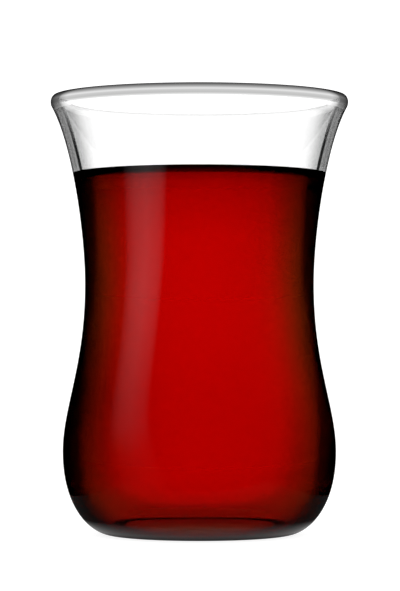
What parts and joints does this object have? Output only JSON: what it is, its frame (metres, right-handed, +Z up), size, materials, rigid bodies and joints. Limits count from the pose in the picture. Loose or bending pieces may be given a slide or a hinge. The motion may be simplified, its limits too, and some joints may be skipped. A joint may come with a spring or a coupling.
{
  "type": "turkish tea glass with tea",
  "caption": "Waisted clear tea glass with a flared rounded lip and a flat foot, filled with dark red tea to below the rim.",
  "frame": {"origin": "middle of the foot, on the surface that the glass stands on", "axes": "+Z up along the axis that the glass is turned about; X and Y are alike, because the glass is round"},
  "size_m": [0.0558, 0.0558, 0.0822],
  "materials": {
    "glass": "clear, colourless, fire polished",
    "tea": "clear dark red drink"
  },
  "bodies": {
    "root": {"glass": "glass", "tea": "tea"}
  },
  "joints": []
}
